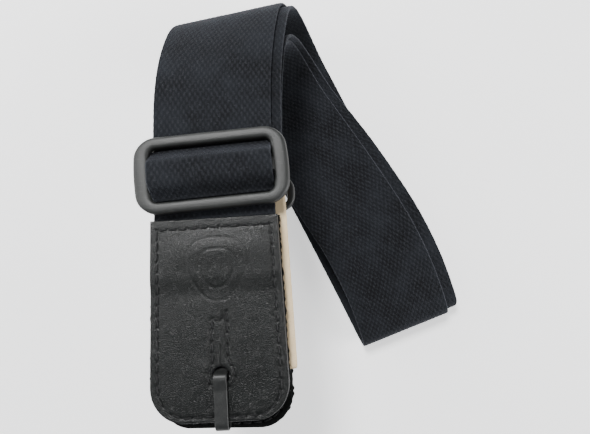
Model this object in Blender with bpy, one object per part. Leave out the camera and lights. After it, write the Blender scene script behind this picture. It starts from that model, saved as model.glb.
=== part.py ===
"""A two-inch cotton guitar strap folded into a display bundle, at its shortest setting.

The webbing lies on the table, folds up and over at the top (the outer fold) and comes forward as the
front strand with its slider and leather end. At its other end it makes a tight U-turn, comes back on top
of itself, folds again inside the first fold (the inner fold) and ends behind the front strand in a
rectangular ring that carries the second leather end. A second, return layer runs inside the first.
Lengths are in millimetres and angles in degrees; MM turns them into metres as each mesh is made.
"""

import math

import bmesh
import bpy
import numpy as np
from mathutils import Matrix, Vector

MM = 0.001

# Webbing
WEB_WIDTH = 50.0
WEB_HALF = 0.9  # half its thickness
LAYER_STEP = 2.1  # from the running layer's middle to the return layer's
RUN_SHIFT = 4.2  # how far the return layer stands out sideways in the outer strand
BAND_SHIFT = 6.7  # and in the upper strand of the band
RETURN_PAST_SLIDER = 5.0  # how far the front strand's return layer runs on beyond the slider's middle

# Folds of the outer strand, from the U-turn to the leather
BASE = (44.83, -65.79)  # middle of the crease line of the U-turn
BASE_ANGLE = 26.5  # direction of the lower strand, from +Y towards -X
LOWER_LENGTH = 147.0
LOWER_SWAY = -0.0003  # edgewise bend per millimetre over its first SWAY_LENGTH
SWAY_LENGTH = 80.0
OUTER_RADIUS = 27.5
OUTER_SKEW = 14.3
OUTER_TURN = 145.0
EASE_RADIUS = 80.0
EASE_TURN = 27.0
FRONT_SWAY = 0.0024
FRONT_SWAY_HALF = 25.0
SLIDER_AT = 38.0  # slider's middle, along the strand from the end of the outer fold

# Folds of the inner strand, from the U-turn to the ring
UTURN_START = 3.0
UTURN_RADIUS = 5.5
UTURN_SKEW = 4.5
UTURN_TURN = 172.0
ARCH_LENGTH = 110.0
ARCH_TURN = 16.0
BAND_SWAY = (0.0042, 0.0003)
BAND_SWAY_BREAK = 85.0
UPPER_LENGTH = 131.17
INNER_RADIUS = 22.7
INNER_SKEW = -0.8
INNER_TURN = 180.1
REAR_SWAY = -0.0016
REAR_SWAY_REACH = (-5.0, 35.0)  # measured from the end of the inner fold
RING_AT = 57.0  # ring's middle, along the strand from the end of the inner fold

# Slider
SLIDER_SIZE = (60.5, 32.0, 8.0)  # length, height, corner radius
SLIDER_WINDOW = (52.6, 22.4, 2.6)
SLIDER_LEVELS = (1.3, 5.8)  # underside and top, above the front strand's middle
SLIDER_TILT = 2.5
BAR_HALF = 2.8
BAR_LEVELS = (3.25, 5.75)
LOOP_GAP = 0.25
WAVE_REACH = 10.4
WAVE_FLAT = 3.5
WAVE_LEVELS = (2.1, 8.95)

# Leather ends
LEATHER = 1.7
TAB_LENGTH = 78.5
TAB_HALF = (25.8, 27.3)  # half width at the sewn end and at the free end
TAB_CORNER = 14.0
TAIL_LENGTH = 22.0
TAIL_FADE = 9.0
SEAM_GAP = 0.15  # half the gap between the two leather layers
BUTTON_HOLE = 3.4
BUTTON_UP = 17.0  # hole's middle above the free end
SLIT = (1.0, 8.0)
FRONT_HOLE_X = 0.8
REAR_HOLE_X = 0.3
FRONT_TAB_TOP = -19.2
REAR_TAB_TOP = -16.0
THREAD = 0.2
THREAD_LIFT = 0.42
BORDER_INSET = 3.0
BORDER_END = 2.0  # the border seam's distance from the free end
RIM_DIP = 0.3  # how far the leather's surface rounds off at its rim
SEAM_DIP = 0.06  # and sinks between the two lines of the keyhole seam
KEYHOLE_HALF = 3.0
KEYHOLE_RADIUS = 5.5
KEYHOLE_RISE = 22.0

# Ring
RING_SIZE = (60.0, 16.0, 7.0)
RING_WINDOW = (53.0, 8.0, 1.2)
RING_HALF = 2.0
RING_EDGE = 1.2
RING_BAR = 6.0  # bars' middles from the ring's middle
LOOP_RADIUS = 3.2
LOOP_OPEN = 12.0

# Lace and card
LACE = (5.2, 0.9)
LACE_LIFT = 3.15
LACE_ARCH = 4.6
CARD = (50.0, 76.0, 0.6)
CARD_PLACE = (4.6, -43.0, -3.9)
CARD_TILT = 1.0


def clear_scene():
    for obj in list(bpy.data.objects):
        bpy.data.objects.remove(obj, do_unlink=True)


def material(name, colour, roughness):
    made = bpy.data.materials.new(name)
    made.use_nodes = True
    shader = made.node_tree.nodes["Principled BSDF"]
    shader.inputs["Base Color"].default_value = (*colour, 1.0)
    shader.inputs["Roughness"].default_value = roughness
    shader.inputs["Metallic"].default_value = 0.0
    return made


# ---------------------------------------------------------------- folding a flat strip


def smooth(x):
    x = np.clip(x, 0.0, 1.0)
    return x * x * (3 - 2 * x)


def lay_flat(s, t, sways):
    """Plan of the unfolded strip: straight along +Y, with an edgewise bend from each (start, bend)."""
    x, y, a = np.zeros_like(s), np.minimum(s, sways[0][0]), np.zeros_like(s)
    x0, y0, a0 = 0.0, sways[0][0], 0.0
    for i, (start, bend) in enumerate(sways):
        bend = bend if abs(bend) > 1e-7 else 1e-7
        length = (sways[i + 1][0] if i + 1 < len(sways) else 1e6) - start
        run = np.clip(s - start, 0.0, length)
        beyond = s > start
        x = np.where(beyond, x0 + (np.cos(a0) - np.cos(a0 + bend * run)) / bend, x)
        y = np.where(beyond, y0 + (np.sin(a0 + bend * run) - np.sin(a0)) / bend, y)
        a = np.where(beyond, a0 + bend * run, a)
        end = a0 + bend * length
        x0 += (math.cos(a0) - math.cos(end)) / bend
        y0 += (math.sin(end) - math.sin(a0)) / bend
        a0 = end
    return x + t * np.cos(a), y - t * np.sin(a)


def fold_strip(s, t, n, folds, sways):
    """Point at s along, t across and n above the strip, after all its folds.

    A fold is (start, skew, radius, turn, side): a cylinder whose axis is skewed from straight across.
    """
    x, y = lay_flat(s, t, sways)
    px, py, pz = x.copy(), y.copy(), n * np.ones_like(x)
    for start, skew, radius, turn, side in reversed(folds):
        c, d = math.cos(skew), math.sin(skew)
        flat = x * d + (y - start) * c
        along = px * c - (py - start) * d
        over = px * d + (py - start) * c
        up = pz * side
        arc = radius * turn
        bent, past = (flat > 0) & (flat < arc), flat >= arc
        phi = np.clip(flat, 0.0, arc) / radius
        rest = over - arc
        new_over = np.where(bent, (radius - up) * np.sin(phi), over)
        new_up = np.where(bent, radius - (radius - up) * np.cos(phi), up)
        new_over = np.where(past, (radius - up) * math.sin(turn) + rest * math.cos(turn), new_over)
        new_up = np.where(past, radius - (radius - up) * math.cos(turn) + rest * math.sin(turn), new_up)
        px = along * c + new_over * d
        py = start - along * d + new_over * c
        pz = new_up * side
    return px, py, pz


class Strand:
    """One end of the strap's webbing, folded outwards from the U-turn's crease."""

    def __init__(self, folds, sways, angle):
        self.folds = [(s, math.radians(k), r, math.radians(a), side) for s, k, r, a, side in folds]
        self.sways = sways
        self.angle = math.radians(angle)

    def point(self, s, t, n):
        s = np.asarray(s, float)
        x, y, z = fold_strip(s, t + 0.0 * s, n, self.folds, self.sways)
        c, d = math.cos(self.angle), math.sin(self.angle)
        return np.stack([x * c - y * d + BASE[0], x * d + y * c + BASE[1], z + WEB_HALF], -1)

    def stations(self, start, end):
        """Distances along the strip: close together in a fold, further apart between folds."""
        found, here = [start], start
        while here < end:
            step = 12.0
            for at, skew, radius, turn, _ in self.folds:
                reach = WEB_WIDTH / 2 * abs(math.tan(skew)) + 2.0
                if at - reach <= here + 0.5 < at + radius * turn / math.cos(skew) + reach:
                    step = min(step, max(0.8, radius * math.radians(10)))
                elif here < at - reach < here + step:
                    step = max(at - reach - here, 0.8)
            here = min(here + step, end)
            found.append(here)
        return np.array(found)

    def frame(self, s, side):
        """Matrix of a flat stretch: +X across, +Y back up the strand, +Z out of its face."""
        origin = self.point(s, 0.0, 0.0)
        y = origin - self.point(s + 1.0, 0.0, 0.0)
        z = side * (self.point(s, 0.0, 1.0) - origin)
        x = np.cross(y, z)
        axes = [Vector(v / np.linalg.norm(v)) for v in (x, y, z)]
        made = Matrix([[axes[j][i] for j in range(3)] for i in range(3)]).to_4x4()
        made.translation = Vector(origin) * MM
        return made


def outer_strand():
    ease_at = LOWER_LENGTH + OUTER_RADIUS * math.radians(OUTER_TURN) / math.cos(math.radians(OUTER_SKEW))
    folds = [
        (LOWER_LENGTH, OUTER_SKEW, OUTER_RADIUS, OUTER_TURN, 1),
        (ease_at, OUTER_SKEW, EASE_RADIUS, EASE_TURN, 1),
    ]
    sways = [
        (0.0, LOWER_SWAY),
        (SWAY_LENGTH, 0.0),
        (outer_end() - FRONT_SWAY_HALF, FRONT_SWAY),
        (outer_end() + FRONT_SWAY_HALF, 0.0),
    ]
    return Strand(folds, sways, BASE_ANGLE)


def outer_end():
    return LOWER_LENGTH + OUTER_RADIUS * math.radians(OUTER_TURN) + EASE_RADIUS * math.radians(EASE_TURN)


def inner_strand():
    arch = math.radians(ARCH_TURN)
    folds = [
        (UTURN_START, UTURN_SKEW, UTURN_RADIUS, UTURN_TURN, 1),
        (uturn_end(), 0.0, ARCH_LENGTH / arch, ARCH_TURN, 1),
        (uturn_end() + UPPER_LENGTH, INNER_SKEW, INNER_RADIUS, INNER_TURN, -1),
    ]
    sways = [
        (uturn_end(), BAND_SWAY[0]),
        (BAND_SWAY_BREAK, BAND_SWAY[1]),
        (inner_end() + REAR_SWAY_REACH[0], REAR_SWAY),
        (inner_end() + REAR_SWAY_REACH[1], 0.0),
    ]
    return Strand(folds, sways, BASE_ANGLE + 180.0)


def uturn_end():
    return UTURN_START + UTURN_RADIUS * math.radians(UTURN_TURN)


def inner_end():
    return uturn_end() + UPPER_LENGTH + INNER_RADIUS * math.radians(INNER_TURN)


# ---------------------------------------------------------------- mesh helpers


def new_object(name, verts, faces, look, parent=None):
    mesh = bpy.data.meshes.new(name)
    mesh.from_pydata([tuple(np.asarray(v, float) * MM) for v in verts], [], faces)
    mesh.materials.append(look)
    shape = bmesh.new()
    shape.from_mesh(mesh)
    bmesh.ops.recalc_face_normals(shape, faces=shape.faces)
    shape.to_mesh(mesh)
    shape.free()
    mesh.shade_smooth()
    mesh.set_sharp_from_angle(angle=math.radians(35))
    obj = bpy.data.objects.new(name, mesh)
    bpy.context.scene.collection.objects.link(obj)
    obj.parent = parent
    return obj


def joined_rings(rings, close):
    """Quads between successive rings of equal length; close joins the last ring to the first."""
    count, size = len(rings), len(rings[0])
    verts = [p for ring in rings for p in ring]
    faces = []
    for i in range(count if close else count - 1):
        a, b = i * size, (i + 1) % count * size
        for j in range(size):
            k = (j + 1) % size
            faces.append((a + j, a + k, b + k, b + j))
    if not close:
        faces.append(tuple(reversed(range(size))))
        faces.append(tuple(range((count - 1) * size, count * size)))
    return verts, faces


def slab(name, lower, upper, look, parent=None):
    """Closed solid between two grids of points of the same shape."""
    rows, cols = lower.shape[:2]
    verts = np.concatenate([lower.reshape(-1, 3), upper.reshape(-1, 3)])
    top = rows * cols
    faces = []
    for i in range(rows - 1):
        for j in range(cols - 1):
            a, b = i * cols + j, (i + 1) * cols + j
            faces.append((a, a + 1, b + 1, b))
            faces.append((top + a, top + b, top + b + 1, top + a + 1))
    edge = [(0, j) for j in range(cols)]
    edge += [(i, cols - 1) for i in range(1, rows)]
    edge += [(rows - 1, j) for j in range(cols - 2, -1, -1)]
    edge += [(i, 0) for i in range(rows - 2, 0, -1)]
    rim = [i * cols + j for i, j in edge]
    for a, b in zip(rim, rim[1:] + rim[:1]):
        faces.append((a, top + a, top + b, b))
    return new_object(name, verts, faces, look, parent)


def web_layer(name, strand, start, end, level, shift, look):
    """One layer of the webbing, with level above the strip's middle and shift(s) sideways."""
    s, t = np.meshgrid(strand.stations(start, end), np.linspace(-1, 1, 7) * WEB_WIDTH / 2, indexing="ij")
    t = t + shift(s)
    lower = strand.point(s, t, level - WEB_HALF)
    upper = strand.point(s, t, level + WEB_HALF)
    return slab(name, lower, upper, look)


def ribbon(name, path, half_width, half_thick, look, parent, closed=False, x=0.0):
    """A flat strip across X that follows a path of (y, z) points."""
    path = np.asarray(path, float)
    ahead = np.roll(path, -1, axis=0) - np.roll(path, 1, axis=0)
    if not closed:
        ahead[0] = path[1] - path[0]
        ahead[-1] = path[-1] - path[-2]
    ahead /= np.linalg.norm(ahead, axis=1)[:, None]
    side = np.stack([-ahead[:, 1], ahead[:, 0]], -1) * half_thick
    rings = []
    for p, d in zip(path, side):
        a, b = p + d, p - d
        rings.append([(x - half_width, *a), (x + half_width, *a), (x + half_width, *b), (x - half_width, *b)])
    verts, faces = joined_rings(rings, closed)
    return new_object(name, verts, faces, look, parent)


def rounded_rect(length, height, radius, steps=7):
    points = []
    for quarter, (sx, sy) in enumerate(((1, 1), (-1, 1), (-1, -1), (1, -1))):
        for i in range(steps + 1):
            a = math.radians(90 * (quarter + i / steps))
            x = sx * (length / 2 - radius) + radius * math.cos(a)
            y = sy * (height / 2 - radius) + radius * math.sin(a)
            points.append((x, y))
    return points


def frame_solid(name, outer, window, low, high, edge, look, parent):
    """A flat frame with chamfered edges, from its outer outline and its window."""

    def ring(outline, grow, z):
        length, height, radius = outline
        return [(x, y, z) for x, y in rounded_rect(length + 2 * grow, height + 2 * grow, radius + grow)]

    rings = [
        ring(outer, 0.0, low + edge),
        ring(outer, 0.0, high - edge),
        ring(outer, -edge, high),
        ring(window, edge, high),
        ring(window, 0.0, high - edge),
        ring(window, 0.0, low + edge),
        ring(window, edge, low),
        ring(outer, -edge, low),
    ]
    verts, faces = joined_rings(rings, close=True)
    return new_object(name, verts, faces, look, parent)


def box(name, low, high, look, parent=None):
    lower = np.array([[(x, y, low[2]) for y in (low[1], high[1])] for x in (low[0], high[0])], float)
    upper = lower.copy()
    upper[..., 2] = high[2]
    return slab(name, lower, upper, look, parent)


def boolean(obj, other, operation):
    other.hide_render = True
    other.display_type = "WIRE"
    made = obj.modifiers.new(other.name, "BOOLEAN")
    made.operation = operation
    made.object = other


def empty(name, matrix, parent=None):
    obj = bpy.data.objects.new(name, None)
    bpy.context.scene.collection.objects.link(obj)
    obj.parent = parent
    obj.matrix_local = matrix
    return obj


def thread_line(name, points, look, parent, closed=False):
    curve = bpy.data.curves.new(name, "CURVE")
    curve.dimensions = "3D"
    curve.bevel_depth = THREAD * MM
    curve.bevel_resolution = 1
    curve.use_fill_caps = not closed
    spline = curve.splines.new("POLY")
    spline.points.add(len(points) - 1)
    for slot, p in zip(spline.points, points):
        slot.co = (*(Vector(p) * MM), 1.0)
    spline.use_cyclic_u = closed
    curve.materials.append(look)
    obj = bpy.data.objects.new(name, curve)
    bpy.context.scene.collection.objects.link(obj)
    obj.parent = parent
    return obj


# ---------------------------------------------------------------- webbing


def make_webbing(outer, inner, look):
    joint_gap = 0.15
    front_end = front_station() - (FRONT_TAB_TOP + 1.6)
    rear_end = rear_station() - (LOOP_OPEN + RING_BAR + 0.3)

    def band_shift(s):
        grown = RUN_SHIFT + (BAND_SHIFT - RUN_SHIFT) * smooth((s - joint_gap) / 25.0)
        return -grown * (1 - smooth((s - 105.0) / (rear_end - 125.0)))

    def run_shift(s):
        return RUN_SHIFT + 0.0 * s

    def no_shift(s):
        return 0.0 * s

    return_end = front_station() + RETURN_PAST_SLIDER
    web_layer("web_front_run", outer, joint_gap, front_end, 0.0, no_shift, look)
    web_layer("web_front_return", outer, joint_gap, return_end, LAYER_STEP, run_shift, look)
    web_layer("web_rear_run", inner, joint_gap, rear_end, 0.0, no_shift, look)
    web_layer("web_rear_return", inner, joint_gap, rear_end, LAYER_STEP, band_shift, look)


def front_station():
    return outer_end() + SLIDER_AT


def rear_station():
    return inner_end() + RING_AT


def bar_loop_path(bar, turned, far):
    """Path round a bar at y = bar: open towards +Y where turned is 1, towards -Y where it is -1."""
    middle = LAYER_STEP / 2
    path = []
    for y in (*np.linspace(far, LOOP_OPEN, 3)[:-1], *np.linspace(LOOP_OPEN, 0.0, 8)):
        path.append((y, middle + (LOOP_RADIUS - middle) * (1 - smooth(y / LOOP_OPEN))))
    for a in np.radians(np.arange(105, 270, 15)):
        path.append((LOOP_RADIUS * math.cos(a), LOOP_RADIUS * math.sin(a)))
    for y, z in reversed(path[: len(path) - 11]):
        path.append((y, -z))
    return [(bar + turned * y, z) for y, z in path]


# ---------------------------------------------------------------- slider


def make_slider(hub, plastic, webbing):
    frame = frame_solid("slider_frame", SLIDER_SIZE, SLIDER_WINDOW, *SLIDER_LEVELS, 1.0, plastic, hub)
    reach = SLIDER_WINDOW[0] / 2 + 1.0
    low = (-reach, -BAR_HALF, BAR_LEVELS[0])
    bar = box("slider_bar", low, (reach, BAR_HALF, BAR_LEVELS[1] - 0.3), plastic, hub)
    boolean(frame, bar, "UNION")

    y = np.linspace(-WAVE_REACH, WAVE_REACH, 29)
    lift = 1 - smooth((np.abs(y) - WAVE_FLAT) / (WAVE_REACH - 0.5 - WAVE_FLAT))
    z = WAVE_LEVELS[0] + (WAVE_LEVELS[1] - WAVE_LEVELS[0]) * lift
    half = WEB_WIDTH / 2
    ribbon("slider_web_wave", np.stack([y, z], -1), half, WEB_HALF, webbing, hub)

    grow = LOOP_GAP + WEB_HALF
    height = BAR_LEVELS[1] - BAR_LEVELS[0] + 2 * grow
    middle = sum(BAR_LEVELS) / 2
    outline = rounded_rect(2 * (BAR_HALF + grow), height, 1.6, steps=4)
    ribbon("slider_sewn_loop", [(a, middle + b) for a, b in outline], half, WEB_HALF, webbing, hub, True)


# ---------------------------------------------------------------- leather ends


def tab_half_width(down):
    """Half width at this distance below the sewn end, with the free end's round corners."""
    half = TAB_HALF[0] + (TAB_HALF[1] - TAB_HALF[0]) * down / TAB_LENGTH
    into = down - (TAB_LENGTH - TAB_CORNER)
    if into > 0:
        half -= TAB_CORNER - math.sqrt(max(TAB_CORNER**2 - into**2, 0.0))
    return half


def inner_level(down, pad):
    """Height of a leather layer's inner face: it sinks past the end of what is sewn in between."""
    return pad + (SEAM_GAP - pad) * smooth((down - TAIL_LENGTH) / TAIL_FADE)


def tab_rows():
    rows = list(np.arange(0.0, TAIL_LENGTH, 7.0)) + list(np.linspace(TAIL_LENGTH, TAIL_LENGTH + TAIL_FADE, 6))
    rows += list(np.linspace(TAIL_LENGTH + TAIL_FADE, TAB_LENGTH - TAB_CORNER, 5))[1:]
    rows += [TAB_LENGTH - TAB_CORNER + TAB_CORNER * math.sin(math.radians(a)) for a in range(10, 91, 10)]
    return rows


def surface_dip(share, down):
    """How far the leather's surface sinks at this share of its half width and this distance down."""
    sides = np.interp(abs(share), (0, 1 / 3, 2 / 3, 1), (SEAM_DIP, 0, 0, RIM_DIP))
    into = max(down - (TAB_LENGTH - TAB_CORNER), 0.0) / TAB_CORNER
    return float(sides) + RIM_DIP * into**2 * (1 - float(sides) / RIM_DIP)


def leather_layer(name, hub, top, pad, side, look, hole_x):
    rows, across = tab_rows(), np.linspace(-1, 1, 7)
    inside, outside = [], []
    for down in rows:
        level, half = inner_level(down, pad), tab_half_width(down)
        inside.append([(a * half, top - down, side * level) for a in across])
        heights = [level + LEATHER - surface_dip(a, down) for a in across]
        outside.append([(a * half, top - down, side * z) for a, z in zip(across, heights)])
    layer = slab(name, np.array(inside), np.array(outside), look, hub)
    middle = top - TAB_LENGTH + BUTTON_UP
    rings = [[(hole_x + x, middle + y, z) for x, y in button_hole_outline()] for z in (-9.0, 9.0)]
    verts, faces = joined_rings(rings, close=False)
    boolean(layer, new_object(name + "_cutter", verts, faces, look, hub), "DIFFERENCE")
    return layer


def button_hole_outline():
    """A round hole with a narrow slit running up from it."""
    half, length = SLIT[0] / 2, SLIT[1]
    start = 90 + math.degrees(math.asin(half / BUTTON_HOLE))
    turns = np.radians(np.linspace(start, start + 360 - 2 * (start - 90), 23))
    outline = [(BUTTON_HOLE * math.cos(a), BUTTON_HOLE * math.sin(a)) for a in turns]
    return outline + [(half, BUTTON_HOLE + length), (-half, BUTTON_HOLE + length)]


def on_tab(x, down, top, pad, side):
    dip = surface_dip(x / tab_half_width(down), down)
    return (x, top - down, side * (inner_level(down, pad) + LEATHER - dip + THREAD_LIFT))


def border_points():
    """The border seam as (x, down), from the sewn end round the free end and back."""
    side = []
    for down in np.arange(4.0, TAB_LENGTH - TAB_CORNER, 6.0):
        side.append((tab_half_width(down) - BORDER_INSET, down))
    corner = (TAB_HALF[1] - TAB_CORNER, TAB_LENGTH - TAB_CORNER)
    for a in np.radians(np.arange(0, 91, 15)):
        x = corner[0] + (TAB_CORNER - BORDER_INSET) * math.cos(a)
        side.append((x, corner[1] + (TAB_CORNER - BORDER_END) * math.sin(a)))
    return side + [(-x, down) for x, down in reversed(side)]


def keyhole_points(hole_x):
    """The seam round the button hole: two lines that open into a circle."""
    middle = TAB_LENGTH - BUTTON_UP
    open_angle = math.degrees(math.asin(KEYHOLE_HALF / KEYHOLE_RADIUS))
    points = [(hole_x - KEYHOLE_HALF, middle - KEYHOLE_RISE), (hole_x - KEYHOLE_HALF, middle - 12.0)]
    for a in np.radians(np.linspace(open_angle, 360 - open_angle, 19)):
        points.append((hole_x - KEYHOLE_RADIUS * math.sin(a), middle - KEYHOLE_RADIUS * math.cos(a)))
    points += [(hole_x + KEYHOLE_HALF, middle - 12.0), (hole_x + KEYHOLE_HALF, middle - KEYHOLE_RISE)]
    return points


def make_tab(prefix, hub, top, pad, face_side, hole_x, leather, thread):
    """Two leather layers with their border, top and keyhole seams on the face."""
    leather_layer(prefix + "_leather_face", hub, top, pad, face_side, leather, hole_x)
    leather_layer(prefix + "_leather_back", hub, top, pad, -face_side, leather, hole_x)

    def raised(points):
        return [on_tab(x, down, top, pad, face_side) for x, down in points]

    reach = TAB_HALF[0] - BORDER_INSET - 1.6
    row = [(x, 3.4 + 0.7 * (i % 2)) for i, x in enumerate(np.linspace(-reach, reach, 23))]
    thread_line(prefix + "_border_stitch", raised(border_points()), thread, hub)
    thread_line(prefix + "_top_stitch", raised(row), thread, hub)
    thread_line(prefix + "_keyhole_stitch", raised(keyhole_points(hole_x)), thread, hub)


# ---------------------------------------------------------------- lace and card


def make_lace(hub, hole_x, look):
    """A flat lace through the front button hole, round the free end and back up behind it."""
    hole = FRONT_TAB_TOP - TAB_LENGTH + BUTTON_UP
    end = FRONT_TAB_TOP - TAB_LENGTH
    path = [(hole - 1.2, LACE_LIFT + 0.9), (hole - 3.0, LACE_LIFT + 0.5), (hole - 5.0, LACE_LIFT), (end, LACE_LIFT)]
    for a in np.radians(np.arange(75, -76, -15)):
        path.append((end - LACE_LIFT * math.cos(a) * 0.95, LACE_LIFT * math.sin(a)))
    path += [(end, -LACE_LIFT), (hole - 5.0, -LACE_LIFT), (hole - 1.6, -LACE_LIFT - 0.2)]
    path += [(hole - 0.1, -1.6), (hole + 0.2, 0.0), (hole + 0.25, 2.0), (hole, LACE_ARCH - 0.5)]
    ribbon("tie_lace", path, LACE[0] / 2, LACE[1] / 2, look, hub, True, x=hole_x)
    knot_y, size = hole - 11.0, (4.2, 2.6, 1.1)
    rings = []
    for a in np.radians(np.arange(-75, 76, 30)):
        wide, z = math.cos(a), -LACE_LIFT - LACE[1] / 2 - 0.3 - size[2] * (1 + math.sin(a))
        outline = rounded_rect(2 * size[0] * wide, 2 * size[1] * wide, 0.8 * wide, steps=2)
        rings.append([(hole_x + x, knot_y + y, z) for x, y in outline])
    verts, faces = joined_rings(rings, close=False)
    new_object("lace_knot", verts, faces, look, hub)


def make_card(hub, look):
    length, height, thick = (v / 2 for v in CARD)
    card = box("backing_card", (-length, -height, -thick), (length, height, thick), look, hub)
    card.rotation_euler.z = math.radians(CARD_TILT)
    return card


# ---------------------------------------------------------------- assembly


def main():
    clear_scene()
    webbing = material("black_cotton_webbing", (0.012, 0.013, 0.017), 0.9)
    leather = material("black_leather", (0.018, 0.021, 0.020), 0.42)
    plastic = material("black_plastic", (0.030, 0.033, 0.032), 0.45)
    thread = material("black_thread", (0.010, 0.010, 0.011), 0.7)
    lace = material("black_lace", (0.015, 0.016, 0.015), 0.5)
    kraft = material("kraft_card", (0.47, 0.36, 0.22), 0.85)

    outer, inner = outer_strand(), inner_strand()
    make_webbing(outer, inner, webbing)

    front = empty("front_strand", outer.frame(front_station(), -1))
    slider = empty("slider_axis", Matrix.Rotation(math.radians(SLIDER_TILT), 4, "Z"), front)
    make_slider(slider, plastic, webbing)

    hinge = empty("front_hinge", Matrix.Translation((0, (FRONT_TAB_TOP + 0.8) * MM, 0)), front)
    tab = empty("front_tab", Matrix.Translation((0, -(FRONT_TAB_TOP + 0.8) * MM, 0)), hinge)
    half = WEB_WIDTH / 2
    tail_low = (-half, FRONT_TAB_TOP - TAIL_LENGTH, -WEB_HALF)
    box("front_web_tail", tail_low, (half, FRONT_TAB_TOP, WEB_HALF), webbing, tab)
    make_tab("front", tab, FRONT_TAB_TOP, WEB_HALF + 0.3, 1, FRONT_HOLE_X, leather, thread)
    make_lace(tab, FRONT_HOLE_X, lace)

    rear = empty("rear_strand", inner.frame(rear_station(), 1))
    middle = empty("ring_plane", Matrix.Translation((0, 0, LAYER_STEP / 2 * MM)), rear)
    path = bar_loop_path(RING_BAR, 1, LOOP_OPEN)
    ribbon("ring_web_loop", path[2:-2], half, WEB_HALF, webbing, middle)
    swing = empty("ring_hinge", Matrix.Translation((0, RING_BAR * MM, 0)), middle)
    held = empty("ring_middle", Matrix.Translation((0, -RING_BAR * MM, 0)), swing)
    frame_solid("ring", RING_SIZE, RING_WINDOW, -RING_HALF, RING_HALF, RING_EDGE, plastic, held)
    hang = empty("rear_hinge", Matrix.Translation((0, -RING_BAR * MM, 0)), held)
    end = empty("rear_tab", Matrix.Translation((0, RING_BAR * MM, 0)), hang)
    tail = -REAR_TAB_TOP + TAIL_LENGTH - RING_BAR
    ribbon("rear_loop", bar_loop_path(-RING_BAR, -1, tail), half, WEB_HALF, webbing, end)
    pad = LAYER_STEP / 2 + WEB_HALF + 0.3
    make_tab("rear", end, REAR_TAB_TOP, pad, -1, REAR_HOLE_X, leather, thread)

    card_hub = empty("card_axis", Matrix.Translation(Vector(CARD_PLACE) * MM), front)
    make_card(card_hub, kraft)


main()
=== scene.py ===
"""Looks of the folded guitar strap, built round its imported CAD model.

Lengths are in millimetres until a mesh is made, when MM turns them into metres. The strap's folds are worked
out here with the same formula that shaped the CAD strands, so that the fine webbing lies where they lie.
"""

import math

import bpy
import numpy as np
from mathutils import Matrix, Vector

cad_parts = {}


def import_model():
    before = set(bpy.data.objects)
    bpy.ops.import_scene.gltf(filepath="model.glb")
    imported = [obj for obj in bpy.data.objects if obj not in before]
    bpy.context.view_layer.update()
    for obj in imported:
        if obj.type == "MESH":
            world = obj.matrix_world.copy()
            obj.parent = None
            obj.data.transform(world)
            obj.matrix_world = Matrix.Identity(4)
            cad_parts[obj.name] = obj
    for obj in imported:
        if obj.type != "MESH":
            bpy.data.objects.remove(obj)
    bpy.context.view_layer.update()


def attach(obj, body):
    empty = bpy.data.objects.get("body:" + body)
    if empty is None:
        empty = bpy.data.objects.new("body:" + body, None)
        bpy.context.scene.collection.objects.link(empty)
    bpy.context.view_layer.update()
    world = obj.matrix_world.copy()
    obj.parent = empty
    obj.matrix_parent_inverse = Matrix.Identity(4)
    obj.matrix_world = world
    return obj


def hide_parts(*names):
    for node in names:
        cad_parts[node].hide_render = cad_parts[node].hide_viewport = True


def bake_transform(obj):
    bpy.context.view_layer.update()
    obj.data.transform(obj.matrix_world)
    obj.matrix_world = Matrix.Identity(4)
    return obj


MM = 0.001

# ---------------------------------------------------------------- the strap's folds, as in the CAD

WEB_WIDTH, WEB_HALF = 50.0, 0.9
LAYER_STEP, RUN_SHIFT, BAND_SHIFT = 2.1, 4.2, 6.7
RETURN_PAST_SLIDER = 5.0
BASE, BASE_ANGLE = (44.83, -65.79), 26.5
LOWER_LENGTH, LOWER_SWAY, SWAY_LENGTH = 147.0, -0.0003, 80.0
OUTER_RADIUS, OUTER_SKEW, OUTER_TURN = 27.5, 14.3, 145.0
EASE_RADIUS, EASE_TURN = 80.0, 27.0
FRONT_SWAY, FRONT_SWAY_HALF = 0.0024, 25.0
SLIDER_AT = 38.0
UTURN_START, UTURN_RADIUS, UTURN_SKEW, UTURN_TURN = 3.0, 5.5, 4.5, 172.0
ARCH_LENGTH, ARCH_TURN = 110.0, 16.0
BAND_SWAY, BAND_SWAY_BREAK = (0.0042, 0.0003), 85.0
UPPER_LENGTH = 131.17
INNER_RADIUS, INNER_SKEW, INNER_TURN = 22.7, -0.8, 180.1
RING_AT = 57.0
REAR_SWAY, REAR_SWAY_REACH = -0.0016, (-5.0, 35.0)

# Slider, ring, leather ends and lace, as in the CAD
SLIDER_SIZE, SLIDER_WINDOW = (60.5, 32.0, 8.0), (52.6, 22.4, 2.6)
SLIDER_LEVELS, SLIDER_TILT = (1.3, 5.8), 2.5
BAR_HALF, BAR_LEVELS = 2.8, (3.25, 5.75)
WAVE_REACH, WAVE_FLAT, WAVE_LEVELS = 10.4, 3.5, (2.1, 8.95)
LOOP_GAP = 0.25
LEATHER, TAB_LENGTH, TAB_HALF, TAB_CORNER = 1.7, 78.5, (25.8, 27.3), 14.0
TAIL_LENGTH, TAIL_FADE, SEAM_GAP = 22.0, 9.0, 0.15
BUTTON_HOLE, BUTTON_UP, SLIT_LENGTH = 3.4, 17.0, 8.0
FRONT_HOLE_X, REAR_HOLE_X = 0.8, 0.3
FRONT_TAB_TOP, REAR_TAB_TOP = -19.2, -16.0
BORDER_INSET, BORDER_END, KEYHOLE_HALF, KEYHOLE_RADIUS, KEYHOLE_RISE = 3.0, 2.0, 3.0, 5.5, 22.0
RING_SIZE, RING_WINDOW, RING_HALF, RING_BAR = (60.0, 16.0, 7.0), (53.0, 8.0, 1.2), 2.0, 6.0
LOOP_RADIUS, LOOP_OPEN = 3.2, 12.0
LACE, LACE_LIFT, LACE_ARCH = (5.2, 0.9), 3.15, 4.6
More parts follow.
